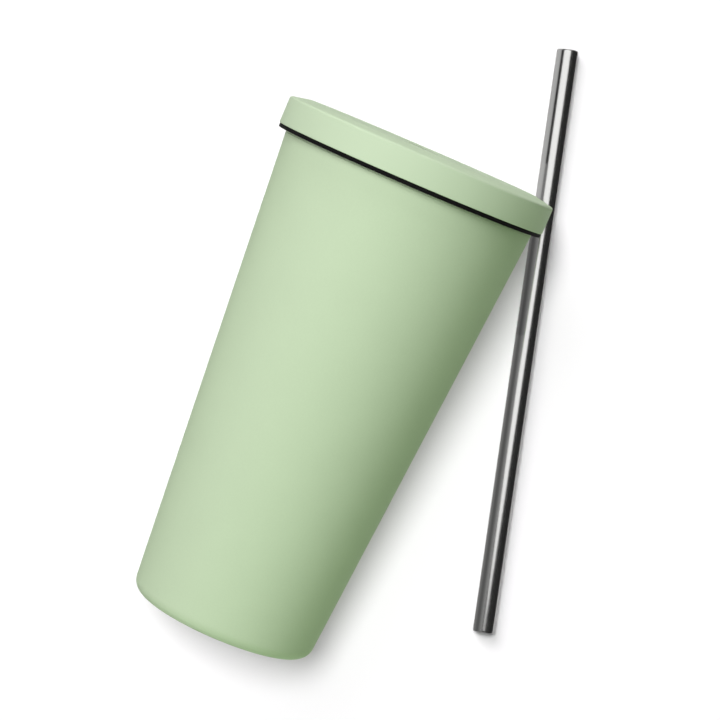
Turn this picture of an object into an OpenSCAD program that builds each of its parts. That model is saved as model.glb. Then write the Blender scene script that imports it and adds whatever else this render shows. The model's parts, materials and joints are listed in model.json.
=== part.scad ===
// Insulated travel mug: a double-walled steel tumbler lying on its side with its push-in lid in place,
// and a straight steel straw lying beside it.
// The ground is z = 0, +X runs along the mug from its base to its lid, and the straw lies on the -Y side.
// Each piece of the mug is drawn upright, standing on z = 0 about the Z axis, and then laid down.

/* [Body] */
// Height of the steel body, from its foot to the top of its lip
body_h = 170.6; // [150:0.1:200]
// Outside diameter of the body at its rim
rim_d = 93.5; // [86:0.5:97]
// Outside diameter of the body at the ground, measured to the sharp corner
base_d = 67.4; // [60:0.2:80]
// Radius of the rounded corner at the base
base_round = 5; // [3:0.5:8]
// Thickness of the outer shell's sheet
shell_t = 0.5; // [0.4:0.1:1]
// Width of the flat ring that the mug stands on
foot_w = 4; // [2:0.5:6]

/* [Liner] */
// Width of the evacuated gap between the two walls
vacuum_gap = 3.2; // [2:0.1:5]
// Thickness of the liner's sheet
liner_t = 0.5; // [0.4:0.1:1]
// Reach of the rolled lip, from the shell in to the mouth
lip_w = 3.2; // [2:0.1:4.5]
// Height of the sloping ledge between the straight mouth and the taper
ledge_h = 1.2; // [0.5:0.1:3]
// Inside radius of the liner's bottom corner
liner_round = 8; // [4:0.5:12]
// Height of the straight wall above that corner
liner_skirt_h = 4; // [2:0.5:10]

/* [Base] */
// Thickness of the pressed plate in the foot
plate_t = 0.6; // [0.4:0.1:1]
// Diameter of the vacuum port
port_d = 1.6; // [1:0.1:3]
// Diameter of the solder bead on the port
bead_d = 6; // [4:0.5:10]
// Height of that bead
bead_h = 1; // [0.5:0.1:2]
// Flat left round the bead in the port's dimple
bead_margin = 1.5; // [0.5:0.1:4]
// Depth of that dimple
dimple_h = 1.5; // [1:0.1:2]
// Thickness of the base cap's sheet
cap_t = 0.6; // [0.4:0.1:0.8]
// Height of the base cap
cap_h = 3.15; // [2.5:0.05:6]
// Depth of the base cap above the ground
cap_recess = 1.2; // [0.6:0.1:3]
// Inside radius of the base cap's rounded edge
cap_round = 0.6; // [0.3:0.1:1.2]
// Width of the flat ring round the raised middle of the base cap
dish_rim_w = 5.5; // [2:0.5:10]
// Rise of that middle
dish_h = 0.5; // [0.2:0.1:0.8]

/* [Inside the vacuum] */
// Thickness of the copper foil round the liner
foil_t = 0.15; // [0.1:0.05:0.3]
// Distance from the foil's edges to the liner's joint and ledge
foil_margin = 4; // [1:0.5:20]
// Diameter of the getter pill
getter_d = 8; // [5:0.5:9]
// Height of the getter pill
getter_h = 1.5; // [1:0.1:2]
// Distance from the mug's axis to the getter
getter_out = 13; // [12:0.5:14]
// Thickness of the clip that holds the getter
clip_t = 0.3; // [0.2:0.05:0.5]
// Width of that clip
clip_w = 5; // [3:0.5:8]
// Length of each foot of that clip
clip_foot = 3; // [2:0.5:4]
// Space left under that clip
clip_clear = 2; // [1:0.1:4]

/* [Lid] */
// Overhang of the lid past the body's rim, all round
lid_overhang = 3.25; // [2:0.05:8]
// Height of the lid's band, to its sharp corner with the shoulder
band_h = 9.9; // [7:0.1:18]
// Width of the sloping shoulder from the band to the flat crown
shoulder_w = 7; // [4:0.5:14]
// Rise of that shoulder
shoulder_h = 1.4; // [0.6:0.1:2.5]
// Radius of the edge between the band and the shoulder
lid_round = 1; // [0.5:0.1:2]
// Radius of the band's lower edge
lid_edge_round = 0.5; // [0.2:0.1:0.6]
// Wall thickness of the lid cover
lid_t = 2.5; // [1.8:0.1:3]
// Thickness of the two ribs under the lid cover that are welded to the inner lid
weld_rib_t = 1.5; // [1:0.1:2.5]
// Thickness of the inner lid's disc
inner_lid_t = 2; // [1.5:0.1:3]
// Wall left behind the groove of the skirt that enters the mouth
skirt_wall = 1.4; // [1:0.1:3]
// Length of the skirt below that groove
skirt_tail = 5; // [3:0.5:10]
// Gap between the skirt's end and the ledge in the mouth
skirt_end_gap = 2.9; // [1:0.1:8]
// Radius of the skirt's lower edge
skirt_round = 0.8; // [0.4:0.1:1]
// Number of gussets inside the skirt
gusset_count = 8; // [4:1:16]
// Thickness of each gusset
gusset_t = 1.4; // [0.8:0.1:2]
// Length of each gusset along the disc and the skirt
gusset_l = 8; // [4:0.5:12]

/* [Seals] */
// Distance from the lid's side in to the edge of the rim gasket
gasket_inset = 0.3; // [0.2:0.05:2]
// Thickness of the rim gasket
gasket_t = 1.4; // [1:0.1:3]
// Depth of the skirt seal's groove
groove_depth = 1; // [0.5:0.1:1.4]
// Distance from the lid's underside down to that groove
groove_drop = 5; // [3:0.5:10]
// Number of fins on the skirt seal
fin_count = 3; // [2:1:4]
// Width of a fin at its root
fin_w = 1.6; // [1:0.1:2.5]
// Width of a fin at its tip
fin_tip_w = 0.5; // [0.3:0.1:0.8]
// Space between the roots of two fins
fin_space = 1; // [0.5:0.1:2]

/* [Straw hole] */
// Wall thickness of the silicone grommet
grommet_t = 2.3; // [1.5:0.1:4]
// Reach of the grommet's flange over the crown
flange_w = 2.35; // [1.5:0.05:5]
// Thickness of that flange
flange_t = 0.95; // [0.6:0.05:1.6]
// Depth of that flange's top below the crown
flange_sink = 0.2; // [0:0.1:0.4]
// Reach of the grommet's lower lip under the inner lid
grommet_lip_w = 1.2; // [0.8:0.1:2]
// Height of that lower lip
grommet_lip_h = 1.2; // [0.8:0.1:2]
// Chamfer at both ends of the grommet's bore
bore_chamfer = 0.5; // [0.2:0.1:0.6]

/* [Straw] */
// Outside diameter of the straw
straw_d = 8; // [6:0.5:9]
// Length of the straw
straw_l = 216; // [180:1:260]
// Wall thickness of the straw
straw_t = 0.5; // [0.3:0.1:0.8]
// Angle between the straw and the mug, seen from above
straw_yaw = 15; // [10:1:18]
// Distance from the mug's base to the straw's middle, along the mug
straw_along = 136; // [120:1:150]
// Distance from the lid's side to the straw's middle, across the mug
straw_gap = 12; // [8:1:60]

/* [Fits] */
// Gap between pieces that are welded, bonded or pressed together
bond_gap = 0.05; // [0.02:0.01:0.1]
// Gap between the gasket and the lip under it
seat_gap = 0.1; // [0.05:0.05:0.3]
// Gap between the skirt and the mouth that its seal fills
skirt_gap = 1.5; // [1.2:0.1:2]
// Gap between the seal's fins and the mouth
fin_gap = 0.3; // [0.2:0.05:0.5]
// Gap between loosely fitted pieces: cap in foot, inner lid in cover, flange in recess
loose_gap = 0.2; // [0.1:0.05:0.3]
// Gap between the foil and the liner, and between the getter and its clip
wrap_gap = 0.1; // [0.05:0.05:0.2]
// Radial gap between the straw and the grommet's bore
straw_clear = 0.15; // [0.1:0.05:0.4]

/* [Hidden] */
$fn = 96;

// Colours
coat_green = [0.75, 0.85, 0.70];
lid_green = [0.78, 0.88, 0.74];
steel = [0.72, 0.73, 0.74];
copper = [0.78, 0.50, 0.34];
solder_grey = [0.35, 0.36, 0.38];
silicone_black = [0.06, 0.06, 0.06];
inner_lid_white = [0.88, 0.89, 0.86];

// The body's taper, and its outside radius at a height
taper = (rim_d - base_d) / 2 / body_h;
wall_angle = atan(taper);
function shell_r(z) = base_d / 2 + taper * z;
// A thickness square to the sloping wall, measured level
function level(t) = t / cos(wall_angle);

// Points along an arc, from one angle to another
function arc(centre, r, from, to, steps = 10) =
    [for (i = [0:steps]) let (a = from + (to - from) * i / steps) centre + r * [cos(a), sin(a)]];
// Shift of an offset corner where a sheet turns by an angle
function corner_shift(t, turn) = t * tan(turn / 2);

// Foot of the shell, whose hem holds the plate over the base cap
base_c = [shell_r(base_round) - level(base_round), base_round];
foot_in_r = base_c.x - foot_w;
plate_z = cap_recess + cap_h + bond_gap;
hem_h = plate_z + plate_t;
shell_top = body_h - liner_t - bond_gap;

// Skirt of the lid, made up of its drop to the groove, the seal with its fins, and its tail
fin_pitch = fin_w + fin_space;
seal_h = fin_count * fin_pitch + 2 * bond_gap;
skirt_h = groove_drop + seal_h + skirt_tail;

// Liner: inside radius of its taper at a height, straight mouth, lip and bottom
function liner_r(z) = shell_r(z) - level(shell_t + vacuum_gap + liner_t);
mouth_r = rim_d / 2 - shell_t - lip_w;
lip_c = [mouth_r + lip_w, body_h - lip_w];
skirt_z = body_h + seat_gap + gasket_t - skirt_h;
ledge_z = skirt_z - skirt_end_gap - ledge_h;
ledge_turn = atan((mouth_r - liner_r(ledge_z)) / ledge_h);
floor_z = hem_h + clip_clear + clip_t + wrap_gap + getter_h + bond_gap + liner_t;
liner_c = [liner_r(floor_z + liner_round) - level(liner_round), floor_z + liner_round];
joint_z = liner_c.y + liner_skirt_h;
getter_z = floor_z - liner_t - bond_gap;

// Plate, port and cap in the foot
plate_r = foot_in_r - bond_gap;
press_turn = 45;
port_z = plate_z + dimple_h;
cap_r = foot_in_r - loose_gap;

// Levels of the lid, and the sizes that its pieces share
lid_z = body_h + seat_gap + gasket_t;
lid_r = rim_d / 2 + lid_overhang;
crown_r = lid_r - shoulder_w;
shoulder_z = lid_z + band_h;
crown_z = shoulder_z + shoulder_h;
shoulder_angle = atan(shoulder_h / shoulder_w);
shoulder_c = [
    lid_r - lid_round,
    shoulder_z + lid_round * ((1 - sin(shoulder_angle)) * tan(shoulder_angle) - cos(shoulder_angle))
];
lid_edge_c = [lid_r - lid_edge_round, lid_z + lid_edge_round];
cover_in_r = lid_r - lid_t;
cover_in_z = crown_z - lid_t;
weld_z = lid_z + inner_lid_t + bond_gap;
skirt_r = mouth_r - skirt_gap;
groove_r = skirt_r - groove_depth;
groove_z = skirt_z + skirt_tail;
skirt_in_r = groove_r - skirt_wall;

// Straw and its hole
straw_r = straw_d / 2;
straw_bore_r = straw_r + straw_clear;
grommet_r = straw_bore_r + grommet_t;
lid_hole_r = grommet_r + bond_gap;
flange_r = grommet_r + flange_w;
recess_r = flange_r + loose_gap;
recess_z = crown_z - flange_sink - flange_t - bond_gap;
straw_aside = lid_r + straw_gap;

// Tilt of the lying mug: its base corner and its lid's lower edge both touch the ground
contact_run = lid_edge_c.y - base_c.y;
contact_rise = lid_edge_c.x - base_c.x;
tilt = atan2(contact_rise, contact_run)
    - asin((base_round - lid_edge_round) / norm([contact_run, contact_rise]));
base_height = lid_edge_round + lid_edge_c.x * cos(tilt) - lid_edge_c.y * sin(tilt);

// Outline of the set seen from above, from the point under the middle of the mug's base
straw_reach = [
    straw_l / 2 * cos(straw_yaw) + straw_r * sin(straw_yaw),
    straw_l / 2 * sin(straw_yaw) + straw_r * cos(straw_yaw)
];
base_x = base_c.y * cos(tilt) - base_c.x * sin(tilt) - base_round;
crown_x = crown_z * cos(tilt) + crown_r * sin(tilt);
x_min = min(base_x, straw_along - straw_reach.x);
x_max = max(crown_x, straw_along + straw_reach.x);
y_min = -straw_aside - straw_reach.y;
y_max = max(lid_r, straw_reach.y - straw_aside);

// Places of the mug and the straw, with the origin under the middle of the set
mug_place = [-(x_min + x_max) / 2, -(y_min + y_max) / 2, base_height];
straw_place = [mug_place.x + straw_along, mug_place.y - straw_aside, straw_r];

// Lays an upright piece of the mug down on the ground
module lying() {
    translate(mug_place) rotate([0, 90 - tilt, 0]) children();
}

// Turns an outline round the upright axis
module lathe(outline) {
    rotate_extrude() polygon(outline);
}

// Tapered outer wall, rounded into a flat foot ring whose sheet is hemmed up inside
module outer_shell() {
    color(coat_green) lying() lathe(concat(
        [[foot_in_r, 0]],
        arc(base_c, base_round, -90, -wall_angle),
        [[shell_r(shell_top), shell_top], [shell_r(shell_top) - level(shell_t), shell_top]],
        arc(base_c, base_round - shell_t, -wall_angle, -90),
        [[foot_in_r + shell_t, shell_t], [foot_in_r + shell_t, hem_h], [foot_in_r, hem_h]]
    ));
}

// Pressed plate inside the hem, with the dimple and hole of the vacuum port
module outer_bottom() {
    dimple_r = bead_d / 2 + bead_margin + dimple_h;
    shift = corner_shift(plate_t, press_turn);
    color(steel) lying() lathe([
        [port_d / 2, port_z],
        [dimple_r - dimple_h, port_z],
        [dimple_r, plate_z],
        [plate_r, plate_z],
        [plate_r, hem_h],
        [dimple_r + shift, hem_h],
        [dimple_r - dimple_h + shift, hem_h + dimple_h],
        [port_d / 2, hem_h + dimple_h]
    ]);
}

// Bead in the dimple with a stem that closes the vacuum port
module vacuum_seal() {
    stem_r = port_d / 2 - bond_gap;
    bead_r = bead_d / 2;
    bead_z = port_z - bond_gap;
    ball_r = (bead_r * bead_r + bead_h * bead_h) / (2 * bead_h);
    ball_c = [0, bead_z - bead_h + ball_r];
    color(solder_grey) lying() lathe(concat(
        [[0, hem_h + dimple_h], [stem_r, hem_h + dimple_h], [stem_r, bead_z]],
        arc(ball_c, ball_r, -acos(bead_r / ball_r), -90, 6)
    ));
}

// Shallow pressed cup in the foot that covers the vacuum port
module base_cap() {
    top = cap_recess + cap_h;
    edge_r = cap_round + cap_t;
    edge_c = [cap_r - edge_r, cap_recess + edge_r];
    dish_r = edge_c.x - dish_rim_w;
    shift = corner_shift(cap_t, press_turn);
    color(steel) lying() lathe(concat(
        [[0, cap_recess + dish_h], [dish_r - dish_h, cap_recess + dish_h], [dish_r, cap_recess]],
        arc(edge_c, edge_r, -90, 0, 6),
        [[cap_r, top], [cap_r - cap_t, top]],
        arc(edge_c, cap_round, 0, -90, 6),
        [
            [dish_r + shift, cap_recess + cap_t],
            [dish_r - dish_h + shift, cap_recess + cap_t + dish_h],
            [0, cap_recess + cap_t + dish_h]
        ]
    ));
}

// Inner wall: taper, sloping ledge, straight mouth and the lip rolled out over the shell's edge
module inner_liner() {
    ledge_drop = corner_shift(liner_t, ledge_turn);
    edge_c = [rim_d / 2 - liner_t / 2, body_h - liner_t / 2];
    color(steel) lying() lathe(concat(
        [
            [liner_r(joint_z), joint_z],
            [liner_r(ledge_z), ledge_z],
            [mouth_r, ledge_z + ledge_h]
        ],
        arc(lip_c, lip_w, 180, 90),
        arc(edge_c, liner_t / 2, 90, -90, 6),
        arc(lip_c, lip_w - liner_t, 90, 180),
        [
            [mouth_r + liner_t, ledge_z + ledge_h - ledge_drop],
            [liner_r(ledge_z) + level(liner_t), ledge_z - ledge_drop],
            [liner_r(joint_z) + level(liner_t), joint_z]
        ]
    ));
}

// Pressed bottom of the liner with its rounded corner
module liner_bottom() {
    top = joint_z - bond_gap;
    color(steel) lying() lathe(concat(
        [[0, floor_z - liner_t]],
        arc(liner_c, liner_round + liner_t, -90, -wall_angle),
        [[liner_r(top) + level(liner_t), top], [liner_r(top), top]],
        arc(liner_c, liner_round, -wall_angle, -90),
        [[0, floor_z]]
    ));
}

// Copper foil wrapped round the liner's taper
module radiation_foil() {
    low = joint_z + foil_margin;
    high = ledge_z - foil_margin;
    near = level(liner_t + wrap_gap);
    far = level(liner_t + wrap_gap + foil_t);
    color(copper) lying() lathe([
        [liner_r(low) + near, low],
        [liner_r(low) + far, low],
        [liner_r(high) + far, high],
        [liner_r(high) + near, high]
    ]);
}

// Getter pill under the liner's bottom
module getter() {
    color(solder_grey) lying() translate([getter_out, 0, getter_z - getter_h])
        cylinder(d = getter_d, h = getter_h);
}

// Strap with two feet that holds the getter to the liner's bottom
module getter_clip() {
    strap_z = getter_z - getter_h - wrap_gap;
    leg_x = getter_d / 2 + wrap_gap;
    half = [
        [leg_x, strap_z],
        [leg_x, getter_z],
        [leg_x + clip_foot, getter_z],
        [leg_x + clip_foot, getter_z - clip_t],
        [leg_x + clip_t, getter_z - clip_t],
        [leg_x + clip_t, strap_z - clip_t]
    ];
    other_half = [for (i = [len(half) - 1:-1:0]) [-half[i].x, half[i].y]];
    color(steel) lying() translate([getter_out, clip_w / 2, 0]) rotate([90, 0, 0])
        linear_extrude(clip_w) polygon(concat(half, other_half));
}

// Outer half of the lid: band, sloping shoulder, flat crown with the grommet's recess, and two weld ribs
module lid_cover() {
    rib_out_r = crown_r - weld_rib_t;
    socket_r = recess_r + weld_rib_t;
    color(lid_green) lying() lathe(concat(
        [[lid_hole_r, recess_z], [recess_r, recess_z], [recess_r, crown_z], [crown_r, crown_z]],
        arc(shoulder_c, lid_round, 90 - shoulder_angle, 0, 6),
        arc(lid_edge_c, lid_edge_round, 0, -90, 6),
        [
            [cover_in_r, lid_z],
            [cover_in_r, shoulder_z - lid_t],
            [crown_r, cover_in_z],
            [rib_out_r, cover_in_z],
            [rib_out_r, weld_z],
            [rib_out_r - weld_rib_t, weld_z],
            [rib_out_r - weld_rib_t, cover_in_z],
            [socket_r, cover_in_z],
            [socket_r, weld_z],
            [lid_hole_r, weld_z]
        ]
    ));
}

// Inner half of the lid: disc, and the grooved skirt that enters the mouth, stiffened by gussets
module inner_lid() {
    top = lid_z + inner_lid_t;
    disc_r = cover_in_r - loose_gap;
    edge_c = [skirt_r - skirt_round, skirt_z + skirt_round];
    color(inner_lid_white) lying() {
        lathe(concat(
            [[lid_hole_r, lid_z], [skirt_in_r, lid_z], [skirt_in_r, skirt_z]],
            arc(edge_c, skirt_round, -90, 0, 6),
            [
                [skirt_r, groove_z],
                [groove_r, groove_z],
                [groove_r, groove_z + seal_h],
                [skirt_r, groove_z + seal_h],
                [skirt_r, lid_z],
                [disc_r, lid_z],
                [disc_r, top],
                [lid_hole_r, top]
            ]
        ));
        for (i = [0:gusset_count - 1])
            rotate([0, 0, (i + 0.5) * 360 / gusset_count]) gusset(top);
    }
}

// Triangular stiffener between the disc and the skirt, let into both
module gusset(disc_top) {
    root_r = skirt_in_r + skirt_wall / 2;
    root_z = disc_top - inner_lid_t / 2;
    translate([0, gusset_t / 2, 0]) rotate([90, 0, 0]) linear_extrude(gusset_t) polygon([
        [root_r, root_z],
        [skirt_in_r - gusset_l, root_z],
        [skirt_in_r - gusset_l, lid_z - gusset_t],
        [skirt_in_r, lid_z - gusset_l],
        [root_r, lid_z - gusset_l]
    ]);
}

// Flat silicone ring between the lid and the lip of the body
module rim_gasket() {
    in_r = skirt_r + bond_gap;
    out_r = lid_r - gasket_inset;
    color(silicone_black) lying() lathe([
        [in_r, lid_z - gasket_t],
        [out_r, lid_z - gasket_t],
        [out_r, lid_z],
        [in_r, lid_z]
    ]);
}

// Silicone sleeve in the skirt's groove, with fins that reach for the mouth
module skirt_seal() {
    low = groove_z + bond_gap;
    high = groove_z + seal_h - bond_gap;
    root_r = groove_r + bond_gap;
    tip_r = mouth_r - fin_gap;
    color(silicone_black) lying() lathe(concat(
        [[root_r, low], [skirt_r, low]],
        [for (i = [0:fin_count - 1], point = fin(low + (i + 0.5) * fin_pitch, tip_r)) point],
        [[skirt_r, high], [root_r, high]]
    ));
}

// Outline of one fin, from its lower root to its upper root
function fin(z, tip_r) = [
    [skirt_r, z - fin_w / 2],
    [tip_r, z - fin_tip_w / 2],
    [tip_r, z + fin_tip_w / 2],
    [skirt_r, z + fin_w / 2]
];

// Silicone bush through the lid, with a flange in the crown's recess and a lip under the inner lid
module straw_grommet() {
    lip_r = grommet_r + grommet_lip_w;
    lip_top = lid_z - bond_gap;
    low = lip_top - grommet_lip_h;
    high = crown_z - flange_sink;
    color(silicone_black) lying() lathe([
        [straw_bore_r, low + bore_chamfer],
        [straw_bore_r + bore_chamfer, low],
        [lip_r, low],
        [lip_r, lip_top],
        [grommet_r, lip_top],
        [grommet_r, recess_z + bond_gap],
        [flange_r, recess_z + bond_gap],
        [flange_r, high],
        [straw_bore_r + bore_chamfer, high],
        [straw_bore_r, high - bore_chamfer]
    ]);
}

// Straight steel tube with rounded ends, lying on the ground
module straw() {
    edge_r = straw_t / 2;
    wall_mid_r = straw_r - edge_r;
    color(steel) translate(straw_place) rotate([0, 90, straw_yaw]) translate([0, 0, -straw_l / 2])
        lathe(concat(
            arc([wall_mid_r, edge_r], edge_r, 180, 360, 6),
            arc([wall_mid_r, straw_l - edge_r], edge_r, 0, 180, 6)
        ));
}

outer_shell();
outer_bottom();
vacuum_seal();
base_cap();
inner_liner();
liner_bottom();
radiation_foil();
getter();
getter_clip();
lid_cover();
inner_lid();
rim_gasket();
skirt_seal();
straw_grommet();
straw();
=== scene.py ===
"""Looks of an insulated travel mug that lies on its side with its lid in place, and of its steel straw.

Every piece of the mug is turned about the mug's own axis, in the mug's upright frame, and then laid down
by the matrix MUG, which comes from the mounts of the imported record. Sizes are in metres.
"""

import json
import math
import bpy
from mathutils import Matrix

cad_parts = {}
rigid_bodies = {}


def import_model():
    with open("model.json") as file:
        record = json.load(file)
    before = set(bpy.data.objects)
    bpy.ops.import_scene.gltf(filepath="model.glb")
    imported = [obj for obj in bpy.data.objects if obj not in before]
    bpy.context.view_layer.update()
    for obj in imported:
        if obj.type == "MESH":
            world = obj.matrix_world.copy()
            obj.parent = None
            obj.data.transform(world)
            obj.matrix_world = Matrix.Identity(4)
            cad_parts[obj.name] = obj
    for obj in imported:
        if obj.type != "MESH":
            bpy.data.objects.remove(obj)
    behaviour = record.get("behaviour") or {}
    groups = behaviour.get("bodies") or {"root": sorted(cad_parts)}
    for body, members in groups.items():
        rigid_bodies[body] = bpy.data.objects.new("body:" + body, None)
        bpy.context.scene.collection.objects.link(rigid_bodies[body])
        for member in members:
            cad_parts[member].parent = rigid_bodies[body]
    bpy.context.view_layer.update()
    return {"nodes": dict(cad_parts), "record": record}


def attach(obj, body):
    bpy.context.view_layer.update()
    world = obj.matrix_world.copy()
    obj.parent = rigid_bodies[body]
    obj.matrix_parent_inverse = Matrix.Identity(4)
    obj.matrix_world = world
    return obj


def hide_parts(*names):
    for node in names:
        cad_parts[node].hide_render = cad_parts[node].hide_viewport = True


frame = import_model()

from types import SimpleNamespace

import bmesh
import bpy
from mathutils import Matrix, Vector

MM = 0.001

# Body and liner
BASE_R = 33.7 * MM          # outside radius at the ground, to the sharp corner
BASE_ROUND = 5 * MM
SHEET_T = 0.5 * MM          # shell and liner
HEM_H = 5 * MM              # folded edge inside the foot
LIP_W = 3.2 * MM
LEDGE_Z = 150.1 * MM        # slope between the taper and the straight mouth
LEDGE_H = 1.2 * MM
LEDGE_ROUND = 0.45 * MM
LINER_INSET = 4.2 * MM      # both sheets and the vacuum between them
LINER_ROUND = 8 * MM
FOLD_ROUND = 0.6 * MM
LIP_EDGE_ROUND = SHEET_T / 2.01  # just under half the sheet

# Base cap
CAP_T = 0.6 * MM
CAP_ROUND = 0.6 * MM
DISH_RIM_W = 5.5 * MM
DISH_H = 0.5 * MM
DISH_SLOPE = math.radians(45)
DISH_ROUND = 1.2 * MM

# Lid
BAND_H = 9.9 * MM
SHOULDER_W = 7 * MM
LID_T = 2.5 * MM
LID_ROUND = 1 * MM
LID_EDGE_ROUND = 0.3 * MM
CROWN_ROUND = 3 * MM
WELD_RIB_T = 1.5 * MM
RECESS_R = 9 * MM
RECESS_DEPTH = 1.2 * MM
INNER_LID_T = 2 * MM
SKIRT_R = 41.55 * MM
SKIRT_IN_R = 39.15 * MM
GROOVE_R = 40.55 * MM
SKIRT_ROUND = 0.8 * MM
GUSSET_COUNT = 8
GUSSET_T = 1.4 * MM
GUSSET_L = 8 * MM

# Seals
FIN_COUNT = 3
FIN_W = 1.6 * MM
FIN_TIP_W = 0.5 * MM
FIN_ROUND = 0.2 * MM
GROMMET_T = 2.3 * MM
GROMMET_LIP_W = 1.2 * MM
FLANGE_T = 0.95 * MM
BORE_CHAMFER = 0.5 * MM
BOND_GAP = 0.05 * MM

# Straw's ends: width and length of the rounded-over part, and the round of its bore
STRAW_END_W = 0.4 * MM
STRAW_END_L = 0.9 * MM
STRAW_END_IN = 0.05 * MM
STRAW_END_STEPS = 8

# Softened edges of moulded pieces and of cut sheet
MOULD_EDGE = 0.3 * MM
SHEET_EDGE = 0.12 * MM

# Fineness of the turned meshes
SEGMENTS = 192
STRAW_SEGMENTS = 96
ARC_STEP = math.radians(9)
ARC_LEAST_STEPS = 3
STRAIGHT = 1e-4             # least turn that counts as a corner, in radians
CRISP = math.radians(40)    # least angle of an edge that isn't shaded smooth
ON_AXIS = 1e-7              # a radius below this is a point on the axis


def mount(name):
    """Place and direction of one of the record's mounts."""
    row = next(m for m in frame["record"]["mounts"] if m["name"] == name)
    return SimpleNamespace(pos=Vector(row["pos_m"]), axis=Vector(row["axis"]).normalized())


def laid(origin, axis):
    """Matrix that takes an upright piece to an origin and an axis, with its Y level."""
    across = Vector((0, 0, 1)).cross(axis).normalized()
    columns = Matrix((across.cross(axis), across, axis)).transposed()
    return Matrix.Translation(origin) @ columns.to_4x4()


foot = mount("foot_ring")
hole = mount("straw_hole")
tube = mount("straw_bore")
base_centre = hole.pos + foot.axis * (hole.pos - foot.pos).dot(-foot.axis)
MUG = laid(base_centre, -foot.axis)
STRAW = laid(tube.pos, tube.axis)


def span(node, place):
    """Least and greatest radius and height of a turned CAD node, in its upright frame."""
    back = place.inverted()
    points = [back @ v.co for v in frame["nodes"][node].data.vertices]
    radii = [math.hypot(p.x, p.y) for p in points]
    heights = [p.z for p in points]
    return SimpleNamespace(r_in=min(radii), r_out=max(radii), low=min(heights), high=max(heights))


shell = span("outer_shell", MUG)
liner = span("inner_liner", MUG)
liner_floor = span("liner_bottom", MUG)
cap = span("base_cap", MUG)
cover = span("lid_cover", MUG)
inner = span("inner_lid", MUG)
gasket = span("rim_gasket", MUG)
seal = span("skirt_seal", MUG)
grommet = span("straw_grommet", MUG)
straw = span("straw", STRAW)

taper = (shell.r_out - BASE_R) / shell.high
wall_angle = math.atan(taper)


def level(t):
    """A thickness square to the tapered wall, measured level."""
    return t / math.cos(wall_angle)


def shell_r(z):
    """Outside radius of the body at a height."""
    return BASE_R + taper * z


def liner_r(z):
    """Inside radius of the liner's taper at a height."""
    return shell_r(z) - level(LINER_INSET)


# Outlines and turned meshes

def rounded(corners):
    """Closed outline through corners (r, z, round), with each round drawn as an arc."""
    points = []
    for i, (r, z, radius) in enumerate(corners):
        here = Vector((r, z))
        before = Vector(corners[i - 1][:2]) - here
        after = Vector(corners[(i + 1) % len(corners)][:2]) - here
        opening = before.angle(after)
        turn = math.pi - opening
        if radius <= 0 or turn < STRAIGHT:
            points.append(here)
            continue
        reach = radius / math.tan(opening / 2)
        start = here + before.normalized() * reach
        inward = (before.normalized() + after.normalized()).normalized()
        centre = here + inward * radius / math.sin(opening / 2)
        steps = max(ARC_LEAST_STEPS, math.ceil(turn / ARC_STEP))
        side = math.copysign(1, before.x * after.y - before.y * after.x)
        for k in range(steps + 1):
            points.append(centre + Matrix.Rotation(-side * turn * k / steps, 2) @ (start - centre))
    return points


def turned(name, corners, place, body, slot, node, segments=SEGMENTS):
    """Piece turned about its upright axis from a closed outline; it stands for one CAD node."""
    bm = bmesh.new()
    rings = []
    for p in rounded(corners):
        if p.x < ON_AXIS:
            rings.append([bm.verts.new((0, 0, p.y))])
            continue
        angles = [2 * math.pi * k / segments for k in range(segments)]
        rings.append([bm.verts.new((p.x * math.cos(a), p.x * math.sin(a), p.y)) for a in angles])
    for i, ring in enumerate(rings):
        following = rings[(i + 1) % len(rings)]
        join_rings(bm, ring, following, segments)
    bmesh.ops.recalc_face_normals(bm, faces=bm.faces)
    mesh = bpy.data.meshes.new(name)
    bm.to_mesh(mesh)
    bm.free()
    mesh.transform(place)
    mesh.materials.append(MATERIALS[slot])
    smooth(mesh)
    obj = add(name, mesh)
    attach(obj, body)
    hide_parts(node)
    return obj


def join_rings(bm, ring, following, segments):
    """Faces between two rings, either of which may be a single point on the axis."""
    if len(ring) == 1 and len(following) == 1:
        return
    for k in range(segments):
        near = (k + 1) % segments
        if len(ring) == 1:
            bm.faces.new((ring[0], following[near], following[k]))
        elif len(following) == 1:
            bm.faces.new((ring[k], ring[near], following[0]))
        else:
            bm.faces.new((ring[k], ring[near], following[near], following[k]))


def smooth(mesh):
    """Smooth shading that keeps the crisp edges."""
    mesh.shade_smooth()
    mesh.set_sharp_from_angle(angle=CRISP)


def add(name, data):
    """A new object in the scene."""
    obj = bpy.data.objects.new(name, data)
    bpy.context.scene.collection.objects.link(obj)
    return obj


# Materials

COAT_GREEN = (0.544, 0.662, 0.463)
LID_GREEN = (0.553, 0.668, 0.478)
INNER_LID_WHITE = (0.72, 0.74, 0.69)
BARE_STEEL = (0.60, 0.60, 0.59)
SPUN_STEEL = (0.62, 0.62, 0.61)
STRAW_STEEL = (0.58, 0.58, 0.57)
SILICONE_BLACKS = ((0.005, 0.005, 0.005), (0.009, 0.009, 0.009))
FOIL_COPPERS = ((0.66, 0.30, 0.16), (0.80, 0.42, 0.26))
SOLDER_GREYS = ((0.09, 0.10, 0.11), (0.16, 0.17, 0.18))
GETTER_GREYS = ((0.10, 0.10, 0.11), (0.26, 0.26, 0.27))

# Share of the fine noise in the coat's colour; the rest is of the coarse one
COAT_FINE = 0.6

# Brushed steel: how far its lines go from the mean, and the turn of its sheen
STEEL_SHADES = 0.06
STEEL_SMOOTHER = 0.05
STEEL_ROUGHER = 0.07
ALONG_AXIS = 0.0
IN_RINGS = 0.25

# Ends of the middle of a noise, which is stretched to a range of values or to two colours
NOISE_RANGE = (0.25, 0.75)
NOISE_TINTS = (0.3, 0.7)


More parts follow.
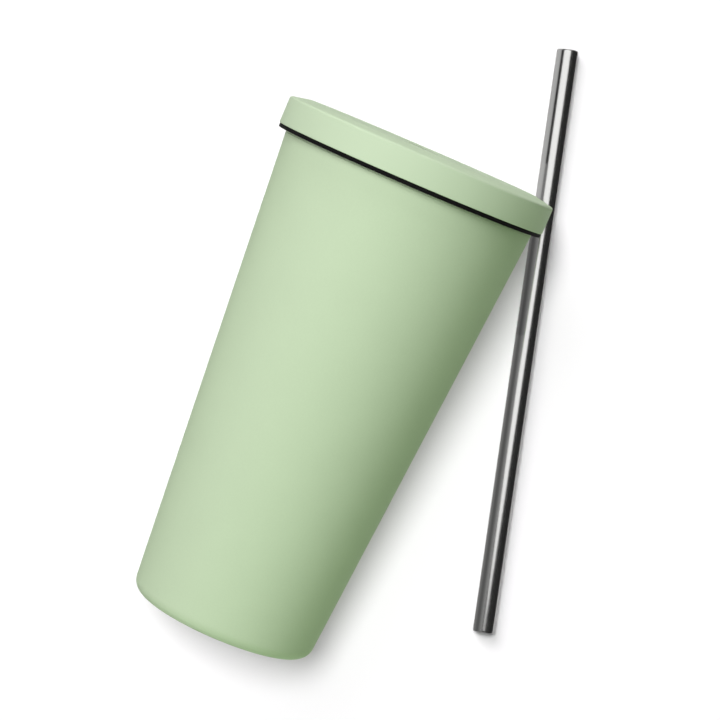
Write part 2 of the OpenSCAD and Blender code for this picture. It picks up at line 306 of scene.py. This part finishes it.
class Nodes:
    """A node tree, and short calls for the nodes in it."""

    def __init__(self, tree):
        self.tree = tree

    def node(self, kind, settings=None, inputs=None):
        """A node with its settings, and its inputs as values or as sockets to link."""
        made = self.tree.nodes.new(kind)
        for key, value in (settings or {}).items():
            setattr(made, key, value)
        for key, value in (inputs or {}).items():
            if isinstance(value, bpy.types.NodeSocket):
                self.tree.links.new(value, made.inputs[key])
            else:
                made.inputs[key].default_value = value
        return made

    def math(self, operation, a, b):
        """Result of an operation on two values."""
        return self.node("ShaderNodeMath", {"operation": operation}, {0: a, 1: b}).outputs[0]

    def vector(self, operation, inputs, output="Vector"):
        """Result of an operation on vectors."""
        return self.node("ShaderNodeVectorMath", {"operation": operation}, inputs).outputs[output]

    def mapped(self, value, source, result):
        """Value taken from one (low, high) range to another, and kept within it."""
        ends = dict(zip(("From Min", "From Max", "To Min", "To Max"), (*source, *result)))
        return self.node("ShaderNodeMapRange", None, {"Value": value, **ends}).outputs["Result"]

    def rays(self, *kinds):
        """1 for rays of these kinds and 0 for others."""
        path = self.node("ShaderNodeLightPath").outputs
        total = path[kinds[0]]
        for kind in kinds[1:]:
            total = self.math("MAXIMUM", total, path[kind])
        return total


class Shader(Nodes):
    """One procedural material: its principled shader, and what feeds it."""

    def __init__(self, name, lay=MUG, **sockets):
        self.lay = lay
        self.material = bpy.data.materials.new(name)
        self.material.use_nodes = True
        super().__init__(self.material.node_tree)
        self.bsdf = self.tree.nodes["Principled BSDF"]
        for key, value in sockets.items():
            self.bsdf.inputs[key.replace("_", " ")].default_value = value

    def feed(self, socket, value):
        """Links a value to one of the principled shader's sockets."""
        self.tree.links.new(value, self.bsdf.inputs[socket])

    def place(self):
        """Position in the upright frame of the mug or of the straw, in metres."""
        where = self.node("ShaderNodeTexCoord").outputs["Object"]
        inputs = {"Vector": where, "Location": self.lay.translation, "Rotation": self.lay.to_euler()}
        return self.node("ShaderNodeMapping", {"vector_type": "TEXTURE"}, inputs).outputs[0]

    def round_axis(self):
        """Direction round the axis at each point."""
        ring = self.vector("CROSS_PRODUCT", {0: (0, 0, 1), 1: self.place()})
        inputs = {"Vector": ring, "Rotation": self.lay.to_euler()}
        laid_ring = self.node("ShaderNodeMapping", {"vector_type": "VECTOR"}, inputs).outputs[0]
        frames = {"vector_type": "VECTOR", "convert_from": "OBJECT", "convert_to": "WORLD"}
        return self.node("ShaderNodeVectorTransform", frames, {"Vector": laid_ring}).outputs[0]

    def grain(self, around, along):
        """Coordinates about the axis: around counts per radian, along per metre of height and radius."""
        x, y, z = self.node("ShaderNodeSeparateXYZ", None, {0: self.place()}).outputs
        flat = self.node("ShaderNodeCombineXYZ", None, {"X": x, "Y": y}).outputs[0]
        ray = self.vector("NORMALIZE", {0: flat})
        far = self.vector("LENGTH", {0: flat}, "Value")
        scaled = self.vector("SCALE", {0: ray, "Scale": around})
        run = self.math("MULTIPLY", self.math("ADD", z, far), along)
        lift = self.node("ShaderNodeCombineXYZ", None, {"Z": run}).outputs[0]
        return self.vector("ADD", {0: scaled, 1: lift})

    def noise(self, vector, scale, detail=2.0):
        """Noise from 0 to 1 whose grain is about one over scale metres."""
        inputs = {"Vector": vector, "Scale": scale, "Detail": detail}
        return self.node("ShaderNodeTexNoise", None, inputs).outputs["Fac"]

    def tint(self, value, colours):
        """Colour between two, by a noise."""
        ramp = self.node("ShaderNodeValToRGB", None, {"Fac": value})
        for stop, position, colour in zip(ramp.color_ramp.elements, NOISE_TINTS, colours):
            stop.position = position
            stop.color = (*colour, 1)
        return ramp.outputs["Color"]

    def by_height(self, steps):
        """Value that runs through (height, value) steps, by the height above the floor."""
        where = self.node("ShaderNodeTexCoord").outputs["Object"]
        z = self.node("ShaderNodeSeparateXYZ", None, {0: where}).outputs["Z"]
        (low, first), (high, last) = steps[0], steps[-1]
        curve = self.node("ShaderNodeFloatCurve", None, {"Value": self.math("DIVIDE", z, high)})
        points = curve.mapping.curves[0].points
        points[0].location = (low / high, first)
        points[1].location = (1, last)
        for height, value in steps[1:-1]:
            points.new(height / high, value)
        curve.mapping.update()
        return curve.outputs[0]

    def finish(self, tone, colours, skin, roughness, depth, strength):
        """Two colours by one noise, and a range of roughness and a relief in metres by another."""
        self.feed("Base Color", self.tint(tone, colours))
        self.feed("Roughness", self.mapped(skin, NOISE_RANGE, roughness))
        inputs = {"Height": skin, "Distance": depth, "Strength": strength}
        self.feed("Normal", self.node("ShaderNodeBump", None, inputs).outputs["Normal"])
        return self.material


def shades(colour, spread):
    """A darker and a lighter shade of a colour."""
    return [tuple(min(1, c * (1 + s)) for c in colour) for s in (-spread, spread)]


def powder_coat():
    """Pale green powder coat: matte, with a very fine pebbled skin."""
    s = Shader("powder_coat", Specular_IOR_Level=0.12)
    pebbles = s.noise(s.place(), scale=1600, detail=3)
    clouds = s.noise(s.place(), scale=60)
    tone = s.math("ADD", s.math("MULTIPLY", pebbles, COAT_FINE), s.math("MULTIPLY", clouds, 1 - COAT_FINE))
    colours = shades(COAT_GREEN, spread=0.02)
    return s.finish(tone, colours, pebbles, roughness=(0.54, 0.68), depth=0.02 * MM, strength=0.5)


def lid_plastic():
    """Satin moulded plastic in a slightly lighter green, with a fine spark-eroded skin."""
    s = Shader("lid_plastic", Specular_IOR_Level=0.15)
    skin = s.noise(s.place(), scale=3200, detail=3)
    clouds = s.noise(s.place(), scale=40)
    colours = shades(LID_GREEN, spread=0.012)
    return s.finish(clouds, colours, skin, roughness=(0.44, 0.56), depth=0.012 * MM, strength=0.4)


def inner_lid_plastic():
    """Off-white moulded plastic with faint flow lines round the axis."""
    s = Shader("inner_lid_plastic", Specular_IOR_Level=0.5)
    flow = s.noise(s.grain(around=1.5, along=300), scale=1.0)
    skin = s.noise(s.place(), scale=2400, detail=3)
    colours = shades(INNER_LID_WHITE, spread=0.02)
    return s.finish(flow, colours, skin, roughness=(0.36, 0.5), depth=0.01 * MM, strength=0.4)


def black_silicone():
    """Black silicone: soft sheen, fine skin and a trace of dust."""
    s = Shader("black_silicone", Specular_IOR_Level=0.06)
    skin = s.noise(s.place(), scale=2600, detail=3)
    dust = s.noise(s.place(), scale=500)
    return s.finish(dust, SILICONE_BLACKS, skin, roughness=(0.62, 0.8), depth=0.01 * MM, strength=0.5)


def steel(name, lay, colour, around, along, roughness, turn, depth):
    """Stainless steel with brushed lines, in rings or along the axis."""
    s = Shader(name, lay, Metallic=1.0, Anisotropic=0.6, Anisotropic_Rotation=turn)
    s.feed("Tangent", s.round_axis())
    lines = s.noise(s.grain(around, along), scale=1.0, detail=4)
    ends = (roughness - STEEL_SMOOTHER, roughness + STEEL_ROUGHER)
    return s.finish(lines, shades(colour, STEEL_SHADES), lines, roughness=ends, depth=depth, strength=0.3)


def copper_foil():
    """Thin copper foil, creased where it was wrapped."""
    s = Shader("copper_foil", Metallic=1.0)
    creases = s.noise(s.place(), scale=120, detail=5)
    return s.finish(creases, FOIL_COPPERS, creases, roughness=(0.18, 0.34), depth=0.2 * MM, strength=0.6)


def solder_glass():
    """Dark glass solder with small bubbles under its skin."""
    s = Shader("solder_glass")
    bubbles = s.noise(s.place(), scale=1800)
    return s.finish(bubbles, SOLDER_GREYS, bubbles, roughness=(0.1, 0.3), depth=0.02 * MM, strength=0.4)


def getter_metal():
    """Sintered dark metal with an open grain."""
    s = Shader("getter_metal", Metallic=0.6)
    pores = s.noise(s.place(), scale=4000, detail=4)
    return s.finish(pores, GETTER_GREYS, pores, roughness=(0.65, 0.9), depth=0.05 * MM, strength=0.6)


MATERIALS = {
    "powder_coat": powder_coat(),
    "lid_plastic": lid_plastic(),
    "inner_lid_plastic": inner_lid_plastic(),
    "black_silicone": black_silicone(),
    "bare_steel": steel("bare_steel", MUG, BARE_STEEL, around=0.5, along=2600,
                        roughness=0.30, turn=IN_RINGS, depth=0.02 * MM),
    "spun_steel": steel("spun_steel", MUG, SPUN_STEEL, around=0.15, along=3200,
                        roughness=0.26, turn=IN_RINGS, depth=0.03 * MM),
    "straw_steel": steel("straw_steel", STRAW, STRAW_STEEL, around=40, along=60,
                         roughness=0.18, turn=ALONG_AXIS, depth=0.01 * MM),
    "copper_foil": copper_foil(),
    "solder_glass": solder_glass(),
    "getter_metal": getter_metal(),
}


# Pieces of the mug

def outer_shell():
    """Tapered wall, rounded into the foot ring, whose sheet is folded up inside."""
    t = SHEET_T
    turned("shell_skin", [
        (shell.r_in, 0, FOLD_ROUND),
        (BASE_R, 0, BASE_ROUND),
        (shell.r_out, shell.high, SHEET_EDGE),
        (shell.r_out - level(t), shell.high, SHEET_EDGE),
        (shell_r(t) - level(t), t, BASE_ROUND - t),
        (shell.r_in + t, t, SHEET_EDGE),
        (shell.r_in + t, HEM_H, SHEET_EDGE),
        (shell.r_in, HEM_H, SHEET_EDGE),
    ], MUG, "mug", "powder_coat", "outer_shell")


def base_cap():
    """Shallow pressed cup with a raised middle that covers the vacuum port."""
    dish_r = cap.r_out - CAP_ROUND - CAP_T - DISH_RIM_W
    t = CAP_T
    inset = t * math.tan(DISH_SLOPE / 2)
    turned("cap_disc", [
        (0, cap.low + DISH_H, 0),
        (dish_r - DISH_H, cap.low + DISH_H, DISH_ROUND),
        (dish_r, cap.low, DISH_ROUND),
        (cap.r_out, cap.low, CAP_ROUND + t),
        (cap.r_out, cap.high, SHEET_EDGE),
        (cap.r_out - t, cap.high, SHEET_EDGE),
        (cap.r_out - t, cap.low + t, CAP_ROUND),
        (dish_r + inset, cap.low + t, DISH_ROUND),
        (dish_r - DISH_H + inset, cap.low + t + DISH_H, DISH_ROUND),
        (0, cap.low + t + DISH_H, 0),
    ], MUG, "mug", "spun_steel", "base_cap")


def inner_liner():
    """Tapered inner wall with its ledge, straight mouth and the lip rolled out over the shell."""
    t = SHEET_T
    mouth_r = liner.r_out - t - LIP_W
    mouth_z = LEDGE_Z + LEDGE_H
    drop = t * math.tan(math.atan((mouth_r - liner_r(LEDGE_Z)) / LEDGE_H) / 2)
    wall = turned("liner_wall", [
        (liner_r(liner.low), liner.low, SHEET_EDGE),
        (liner_r(LEDGE_Z), LEDGE_Z, LEDGE_ROUND),
        (mouth_r, mouth_z, LEDGE_ROUND),
        (mouth_r, liner.high, LIP_W),
        (liner.r_out, liner.high, LIP_EDGE_ROUND),
        (liner.r_out, liner.high - t, LIP_EDGE_ROUND),
        (mouth_r + t, liner.high - t, LIP_W - t),
        (mouth_r + t, mouth_z - drop, LEDGE_ROUND),
        (liner_r(LEDGE_Z) + level(t), LEDGE_Z - drop, LEDGE_ROUND),
        (liner_r(liner.low) + level(t), liner.low, SHEET_EDGE),
    ], MUG, "mug", "bare_steel", "inner_liner")
    coat_edge(wall, liner.r_out - t / 2)


def coat_edge(obj, radius):
    """Carries the body's coat over the faces of a piece that lie outside a radius."""
    obj.data.materials.append(MATERIALS["powder_coat"])
    back = MUG.inverted()
    for face in obj.data.polygons:
        centre = back @ face.center
        if math.hypot(centre.x, centre.y) > radius:
            face.material_index = 1


def liner_bottom():
    """Pressed bottom of the liner with its rounded corner."""
    t = SHEET_T
    low = liner_floor.low
    top = liner_floor.high
    turned("liner_floor", [
        (0, low, 0),
        (liner_r(low) + level(t), low, LINER_ROUND + t),
        (liner_r(top) + level(t), top, SHEET_EDGE),
        (liner_r(top), top, SHEET_EDGE),
        (liner_r(low + t), low + t, LINER_ROUND),
        (0, low + t, 0),
    ], MUG, "mug", "bare_steel", "liner_bottom")


# Pieces of the lid

def lid_cover():
    """Band, sloping shoulder and flat crown with the grommet's recess; two weld ribs underneath."""
    crown_r = cover.r_out - SHOULDER_W
    in_r = cover.r_out - LID_T
    shoulder_z = cover.low + BAND_H
    in_z = cover.high - LID_T
    weld_z = cover.low + INNER_LID_T + BOND_GAP
    rib_r = crown_r - WELD_RIB_T
    socket_r = RECESS_R + WELD_RIB_T
    turned("lid_shell", [
        (cover.r_in, cover.high - RECESS_DEPTH, SHEET_EDGE),
        (RECESS_R, cover.high - RECESS_DEPTH, MOULD_EDGE),
        (RECESS_R, cover.high, MOULD_EDGE),
        (crown_r, cover.high, CROWN_ROUND),
        (cover.r_out, shoulder_z, LID_ROUND),
        (cover.r_out, cover.low, LID_EDGE_ROUND),
        (in_r, cover.low, SHEET_EDGE),
        (in_r, shoulder_z - LID_T, MOULD_EDGE),
        (crown_r, in_z, MOULD_EDGE),
        (rib_r, in_z, SHEET_EDGE),
        (rib_r, weld_z, SHEET_EDGE),
        (rib_r - WELD_RIB_T, weld_z, SHEET_EDGE),
        (rib_r - WELD_RIB_T, in_z, SHEET_EDGE),
        (socket_r, in_z, SHEET_EDGE),
        (socket_r, weld_z, SHEET_EDGE),
        (cover.r_in, weld_z, SHEET_EDGE),
    ], MUG, "lid", "lid_plastic", "lid_cover")


def inner_lid():
    """Disc with the grooved skirt that enters the mouth, stiffened by gussets."""
    under = inner.high - INNER_LID_T
    body = turned("lid_plug", [
        (inner.r_in, under, SHEET_EDGE),
        (SKIRT_IN_R, under, MOULD_EDGE),
        (SKIRT_IN_R, inner.low, MOULD_EDGE),
        (SKIRT_R, inner.low, SKIRT_ROUND),
        (SKIRT_R, seal.low - BOND_GAP, SHEET_EDGE),
        (GROOVE_R, seal.low - BOND_GAP, SHEET_EDGE),
        (GROOVE_R, seal.high + BOND_GAP, SHEET_EDGE),
        (SKIRT_R, seal.high + BOND_GAP, SHEET_EDGE),
        (SKIRT_R, under, MOULD_EDGE),
        (inner.r_out, under, SHEET_EDGE),
        (inner.r_out, inner.high, SHEET_EDGE),
        (inner.r_in, inner.high, SHEET_EDGE),
    ], MUG, "lid", "inner_lid_plastic", "inner_lid")
    for i in range(GUSSET_COUNT):
        fuse(body, gusset((i + 0.5) * 2 * math.pi / GUSSET_COUNT, under))
    smooth(body.data)


def gusset(angle, under):
    """Closed triangular stiffener between the disc and the skirt, let into both."""
    root_r = (SKIRT_IN_R + GROOVE_R) / 2
    root_z = under + INNER_LID_T / 2
    corners = [
        (root_r, root_z),
        (SKIRT_IN_R - GUSSET_L, root_z),
        (SKIRT_IN_R - GUSSET_L, under - GUSSET_T),
        (SKIRT_IN_R, under - GUSSET_L),
        (root_r, under - GUSSET_L),
    ]
    bm = bmesh.new()
    sides = [[bm.verts.new((r, y, z)) for r, z in corners] for y in (-GUSSET_T / 2, GUSSET_T / 2)]
    bm.faces.new(sides[0])
    bm.faces.new(sides[1])
    for k in range(len(corners)):
        near = (k + 1) % len(corners)
        bm.faces.new((sides[0][k], sides[0][near], sides[1][near], sides[1][k]))
    bmesh.ops.recalc_face_normals(bm, faces=bm.faces)
    bm.transform(MUG @ Matrix.Rotation(angle, 4, "Z"))
    mesh = bpy.data.meshes.new("gusset")
    bm.to_mesh(mesh)
    bm.free()
    return add("gusset", mesh)


def fuse(body, addition):
    """Joins an addition to a piece as one closed mesh, and removes the addition."""
    union = body.modifiers.new("union", "BOOLEAN")
    union.operation = "UNION"
    union.solver = "EXACT"
    union.object = addition
    graph = bpy.context.evaluated_depsgraph_get()
    fused = bpy.data.meshes.new_from_object(body.evaluated_get(graph))
    body.modifiers.clear()
    body.data = fused
    bpy.data.objects.remove(addition)


def rim_gasket():
    """Flat ring between the lid and the lip, with softened edges."""
    turned("gasket_ring", [
        (gasket.r_in, gasket.low, MOULD_EDGE),
        (gasket.r_out, gasket.low, MOULD_EDGE),
        (gasket.r_out, gasket.high, MOULD_EDGE),
        (gasket.r_in, gasket.high, MOULD_EDGE),
    ], MUG, "lid", "black_silicone", "rim_gasket")


def skirt_seal():
    """Sleeve in the skirt's groove with fins that reach for the mouth."""
    pitch = (seal.high - seal.low) / FIN_COUNT
    outline = [(seal.r_in, seal.low, 0), (SKIRT_R, seal.low, 0)]
    for i in range(FIN_COUNT):
        z = seal.low + (i + 0.5) * pitch
        outline += [
            (SKIRT_R, z - FIN_W / 2, SHEET_EDGE),
            (seal.r_out, z - FIN_TIP_W / 2, FIN_ROUND),
            (seal.r_out, z + FIN_TIP_W / 2, FIN_ROUND),
            (SKIRT_R, z + FIN_W / 2, SHEET_EDGE),
        ]
    outline += [(SKIRT_R, seal.high, 0), (seal.r_in, seal.high, 0)]
    turned("seal_sleeve", outline, MUG, "lid", "black_silicone", "skirt_seal")


def straw_grommet():
    """Bush through the lid with a flange in the crown's recess and a lip under the inner lid."""
    lip_top = inner.high - INNER_LID_T - BOND_GAP
    barrel_r = grommet.r_in + GROMMET_T
    flange_z = grommet.high - FLANGE_T
    turned("hole_bush", [
        (grommet.r_in, grommet.low + BORE_CHAMFER, MOULD_EDGE),
        (grommet.r_in + BORE_CHAMFER, grommet.low, MOULD_EDGE / 2),
        (barrel_r + GROMMET_LIP_W, grommet.low, MOULD_EDGE),
        (barrel_r + GROMMET_LIP_W, lip_top, SHEET_EDGE),
        (barrel_r, lip_top, SHEET_EDGE),
        (barrel_r, flange_z, SHEET_EDGE),
        (grommet.r_out, flange_z, SHEET_EDGE),
        (grommet.r_out, grommet.high, MOULD_EDGE),
        (grommet.r_in + BORE_CHAMFER, grommet.high, MOULD_EDGE / 2),
        (grommet.r_in, grommet.high - BORE_CHAMFER, MOULD_EDGE),
    ], MUG, "lid", "black_silicone", "straw_grommet")


def drinking_straw():
    """Straight steel tube whose ends are rounded over."""
    turns = [math.pi / 2 * k / STRAW_END_STEPS for k in range(STRAW_END_STEPS + 1)]
    radii = [straw.r_out - STRAW_END_W * (1 - math.sin(a)) for a in turns]
    insets = [STRAW_END_L * (1 - math.cos(a)) for a in turns]
    over = list(zip(radii, insets))
    outline = [(straw.r_in, straw.low, STRAW_END_IN)]
    outline += [(r, straw.low + z, 0) for r, z in over]
    outline += [(r, straw.high - z, 0) for r, z in reversed(over)]
    outline += [(straw.r_in, straw.high, STRAW_END_IN)]
    turned("straw_tube", outline, STRAW, "straw", "straw_steel", "straw", STRAW_SEGMENTS)


def hidden_nodes():
    """Pieces inside the vacuum and the foot, which keep their CAD shapes."""
    slots = {row["node"]: row["material_slot"] for row in frame["record"]["subparts"]}
    for node in ("outer_bottom", "vacuum_seal", "radiation_foil", "getter", "getter_clip"):
        for place in frame["nodes"][node].material_slots:
            place.material = MATERIALS[slots[node]]


outer_shell()
base_cap()
inner_liner()
liner_bottom()
lid_cover()
inner_lid()
rim_gasket()
skirt_seal()
straw_grommet()
drinking_straw()
hidden_nodes()


# Stage: floor, lamps, reflected cards and camera

WHITE = (1, 1, 1)

# Lamps
CENTRE = Vector((0, 0, 0.04))      # what they point to, at about the height of the mug's axis
LAMP_FAR = 1.5
LAMP_SIZE = 0.8
MOUTH_LAMP_SIZE = 2.2
SHADE_TINT = (0.775, 1.0, 0.64)    # light from the right, as off a green neighbour
PAPER_TINT = (0.98, 0.935, 0.985)  # evens out the green that the mug throws into its own shadow

# Floor
FLOOR_SIZE = 12
FLOOR_DROP = 0.05 * MM
FLOOR_WHITE = 0.97
FLOOR_MIRRORED = 0.6               # the paper's colour in shiny surfaces
FLOOR_BOUNCE = (0.37, 0.42, 0.33)  # and in the light that it throws back

# Room in the reflections
ROOM_LEFT = 0.12
ROOM_RIGHT = 0.02
ROOM_ENDS = 0.45                   # added beyond the lid and the base
ROOM_ENDS_FADE = (0.15, 0.8)       # as the square of a direction's part along X

# Round card above the set
SOFTBOX_R = 1.16
SOFTBOX_H = 1.56
SOFTBOX_WAY = (23, 0)              # azimuth and elevation from the straw's middle
SOFTBOX_OUT = 0.86
SOFTBOX_SEGMENTS = 64
SOFTBOX_GLOW = 1.42

# Low cards beside the straw: where they meet, along it from its middle, and their heights
LEFT = 1
RIGHT = -1
FLAG_ASIDE = 6.5 * MM              # from the straw's axis
FLAGS_FROM = -240 * MM
NEAR_LID = 2 * MM
LID_FROM = 46 * MM
LID_TO = 66 * MM
LEFT_TO = 130 * MM
RIGHT_TO = 120 * MM
BODY_FLAG_H = 18.5 * MM
NEAR_LID_FLAG_H = 34 * MM
LID_FLAG_H = 16 * MM
END_FLAG_H = 13 * MM
RIGHT_FLAG_H = 12 * MM
RIGHT_FLAG_LIFT = (6.5 * MM, 3.3 * MM)   # of its lower edge, at its two ends

# Their glow: one level, or (height, level) steps
BODY_STEPS = (0, 4.3 * MM, 6.5 * MM, 8.6 * MM, 11 * MM, BODY_FLAG_H)
BODY_GLOW = list(zip(BODY_STEPS, (0.28, 0.25, 0.15, 0.14, 0.24, 0.36)))
NEAR_LID_GLOW = list(zip(BODY_STEPS, (0.22, 0.19, 0.11, 0.11, 0.18, 0.27)))
LID_GLOW = [(0, 0.6), (8.5 * MM, 0.6), (9.5 * MM, 0.3), (LID_FLAG_H, 0.3)]
END_GLOW = [(0, 0.56), (8.3 * MM, 0.56), (9.3 * MM, 0.04), (END_FLAG_H, 0.04)]
RIGHT_GLOW = 0.02

# Camera
CAMERA_HEIGHT = 1.010
CAMERA_ALONG = 0.10566             # from the middle of the mug's base
CAMERA_ACROSS = -0.00881
CAMERA_TURN = math.radians(-66.745)
FOCAL_PIXELS = 2738.5
IMAGE_PIXELS = 720
SENSOR = 36                        # width in millimetres


def direction(azimuth, elevation):
    """Unit vector, with the azimuth from +X towards +Y, in degrees."""
    a = math.radians(azimuth)
    e = math.radians(elevation)
    return Vector((math.cos(e) * math.cos(a), math.cos(e) * math.sin(a), math.sin(e)))


def group(name, members, state):
    """Objects that a lamp lights or that block it (INCLUDE), or that it passes over (EXCLUDE)."""
    made = bpy.data.collections.new(name)
    for obj in members:
        made.objects.link(obj)
    for row in made.collection_objects:
        row.light_linking.link_state = state
    return made


def aim(name, data, azimuth, elevation, lit, blockers, colour):
    """Turns a lamp to the set, and says what it lights and what blocks it (None for everything)."""
    data.color = colour
    obj = add(name, data)
    way = direction(azimuth, elevation)
    obj.location = CENTRE + way * LAMP_FAR
    obj.rotation_mode = "QUATERNION"
    obj.rotation_quaternion = way.to_track_quat("Z", "Y")
    obj.visible_glossy = False
    obj.light_linking.receiver_collection = lit
    obj.light_linking.blocker_collection = blockers
    return obj


def square_lamp(name, azimuth, elevation, white, size, lit, colour):
    """Square softbox; white is what a white card facing it would read."""
    data = bpy.data.lights.new(name, "AREA")
    data.shape = "SQUARE"
    data.size = size
    data.energy = white * math.pi ** 2 * LAMP_FAR ** 2
    return aim(name, data, azimuth, elevation, lit, None, colour)


def set_lamp(name, azimuth, elevation, white, colour=WHITE):
    """Softbox that lights the set and not the paper."""
    square_lamp(name, azimuth, elevation, white, LAMP_SIZE, the_set, colour)


def mouth_lamp(name, azimuth, elevation, white):
    """Wide softbox before the mouth, which the bare steel inside mirrors when the lid is out."""
    obj = square_lamp(name, azimuth, elevation, white, MOUTH_LAMP_SIZE, the_inside, WHITE)
    obj.visible_glossy = True


def paper_lamp(name, azimuth, elevation, width, white, blockers=None, colour=WHITE):
    """Even light on the paper alone, from a sky that is width degrees across."""
    data = bpy.data.lights.new(name, "SUN")
    data.angle = math.radians(width)
    data.energy = white * math.pi
    aim(name, data, azimuth, elevation, the_paper, blockers, colour)


def floor():
    """Large pale floor that keeps the shadows and reads white round them."""
    mesh = bpy.data.meshes.new("floor")
    h = FLOOR_SIZE / 2
    mesh.from_pydata([(-h, -h, 0), (h, -h, 0), (h, h, 0), (-h, h, 0)], [], [(0, 1, 2, 3)])
    obj = add("floor", mesh)
    obj.location.z = -FLOOR_DROP
    s = Shader("floor_paper", Roughness=0.9, Specular_IOR_Level=0.0)
    colour = s.node("ShaderNodeCombineColor")
    seen = s.rays("Is Camera Ray")
    mirrored = s.rays("Is Glossy Ray", "Is Transmission Ray")
    for channel, bounce in zip(colour.inputs, FLOOR_BOUNCE):
        direct = s.math("MULTIPLY", seen, FLOOR_WHITE - bounce)
        shiny = s.math("MULTIPLY", mirrored, FLOOR_MIRRORED - bounce)
        s.tree.links.new(s.math("ADD", s.math("ADD", direct, shiny), bounce), channel)
    s.feed("Base Color", colour.outputs[0])
    mesh.materials.append(s.material)
    return obj


def card(name, mesh, glow):
    """Glowing card that only shiny surfaces see; glow is one level, or (height, level) steps."""
    obj = add(name, mesh)
    s = Shader(name, Base_Color=(0, 0, 0, 1), Emission_Color=(*WHITE, 1))
    if isinstance(glow, list):
        s.feed("Emission Strength", s.by_height(glow))
    else:
        s.bsdf.inputs["Emission Strength"].default_value = glow
    mesh.materials.append(s.material)
    obj.visible_camera = False
    obj.visible_diffuse = False
    obj.visible_shadow = False
    return obj


def softbox():
    """Round card above the set, towards the lid."""
    name = "overhead_card"
    bm = bmesh.new()
    bmesh.ops.create_circle(bm, cap_ends=True, segments=SOFTBOX_SEGMENTS, radius=SOFTBOX_R)
    mesh = bpy.data.meshes.new(name)
    bm.to_mesh(mesh)
    bm.free()
    obj = card(name, mesh, SOFTBOX_GLOW)
    obj.location = tube.pos + direction(*SOFTBOX_WAY) * SOFTBOX_OUT + Vector((0, 0, SOFTBOX_H))


def flag(name, side, start, end, glow):
    """Low card on one side of the straw, between two (along, bottom, top)."""
    across = Vector((-tube.axis.y, tube.axis.x, 0)) * side * FLAG_ASIDE
    corners = []
    for along, low, top in (start, end):
        p = tube.pos + across + tube.axis * along
        corners += [(p.x, p.y, low), (p.x, p.y, top)]
    mesh = bpy.data.meshes.new(name)
    mesh.from_pydata(corners, [], [(0, 1, 3, 2)])
    card(name, mesh, glow)


def world():
    """White behind the set, and in reflections a dim room that is brighter at its ends."""
    studio = bpy.data.worlds.new("studio")
    bpy.context.scene.world = studio
    studio.use_nodes = True
    n = Nodes(studio.node_tree)
    way = n.node("ShaderNodeTexCoord").outputs["Generated"]
    x, y, _ = n.node("ShaderNodeSeparateXYZ", None, {0: way}).outputs
    room = n.mapped(y, (-1, 1), (ROOM_RIGHT, ROOM_LEFT))
    ends = n.mapped(n.math("MULTIPLY", x, x), ROOM_ENDS_FADE, (0, ROOM_ENDS))
    mirrored = n.math("MULTIPLY", n.math("ADD", room, ends), n.rays("Is Glossy Ray", "Is Transmission Ray"))
    bright = n.math("MAXIMUM", mirrored, n.rays("Is Camera Ray"))
    background = n.tree.nodes["Background"]
    background.inputs["Color"].default_value = (*WHITE, 1)
    n.tree.links.new(bright, background.inputs["Strength"])


def camera():
    """Straight above the set, turned so that the mug leans to the right with its lid up."""
    data = bpy.data.cameras.new("camera")
    data.sensor_width = SENSOR
    data.lens = SENSOR * FOCAL_PIXELS / IMAGE_PIXELS
    obj = add("camera", data)
    obj.location = (base_centre.x + CAMERA_ALONG, base_centre.y + CAMERA_ACROSS, CAMERA_HEIGHT)
    obj.rotation_euler = (0, 0, CAMERA_TURN)
    bpy.context.scene.camera = obj


paper = floor()
world()
camera()

# What the lamps light or pass over, and what shades the paper from two of them
objects = bpy.data.objects
the_set = group("the_set", [paper], "EXCLUDE")
the_paper = group("the_paper", [paper], "INCLUDE")
the_inside = group("the_inside", [objects["liner_wall"], objects["liner_floor"]], "INCLUDE")
straw_blocks = group("straw_blocks", [objects["straw_tube"]], "INCLUDE")
lid_blocks = group("lid_blocks", [objects["straw_tube"], objects["lid_shell"]], "INCLUDE")

# Lamps on the set, and on the bare steel inside the mug
set_lamp("key_lid", azimuth=45, elevation=60, white=0.62)
set_lamp("key_left", azimuth=90, elevation=60, white=0.285)
set_lamp("base_left", azimuth=120, elevation=40, white=0.20)
set_lamp("low_lid", azimuth=0, elevation=18, white=0.35)
set_lamp("low_right", azimuth=210, elevation=18, white=0.37, colour=SHADE_TINT)
mouth_lamp("mouth_left", azimuth=25, elevation=35, white=0.5)
mouth_lamp("mouth_right", azimuth=-40, elevation=25, white=0.3)

# Lamps on the paper: for every shadow, for the straw's alone, and for the straw's and the lid's
paper_lamp("paper_mug", azimuth=47, elevation=78, width=20, white=0.72)
paper_lamp("paper_straw", azimuth=58, elevation=45, width=33, white=0.39,
           blockers=straw_blocks, colour=PAPER_TINT)
paper_lamp("paper_lid", azimuth=45, elevation=55, width=25, white=0.12,
           blockers=lid_blocks, colour=PAPER_TINT)

# Cards in the reflections
softbox()
flag("left_flag", LEFT, (FLAGS_FROM, 0, BODY_FLAG_H), (NEAR_LID, 0, BODY_FLAG_H), BODY_GLOW)
flag("under_lid_flag", LEFT, (NEAR_LID, 0, BODY_FLAG_H), (LID_FROM, 0, NEAR_LID_FLAG_H), NEAR_LID_GLOW)
flag("lid_flag", LEFT, (LID_FROM, 0, LID_FLAG_H), (LID_TO, 0, LID_FLAG_H), LID_GLOW)
flag("end_flag", LEFT, (LID_TO, 0, END_FLAG_H), (LEFT_TO, 0, END_FLAG_H), END_GLOW)
flag("right_flag", RIGHT, (FLAGS_FROM, RIGHT_FLAG_LIFT[0], RIGHT_FLAG_H),
     (RIGHT_TO, RIGHT_FLAG_LIFT[1], RIGHT_FLAG_H), RIGHT_GLOW)

bpy.context.scene.view_settings.view_transform = "Standard"
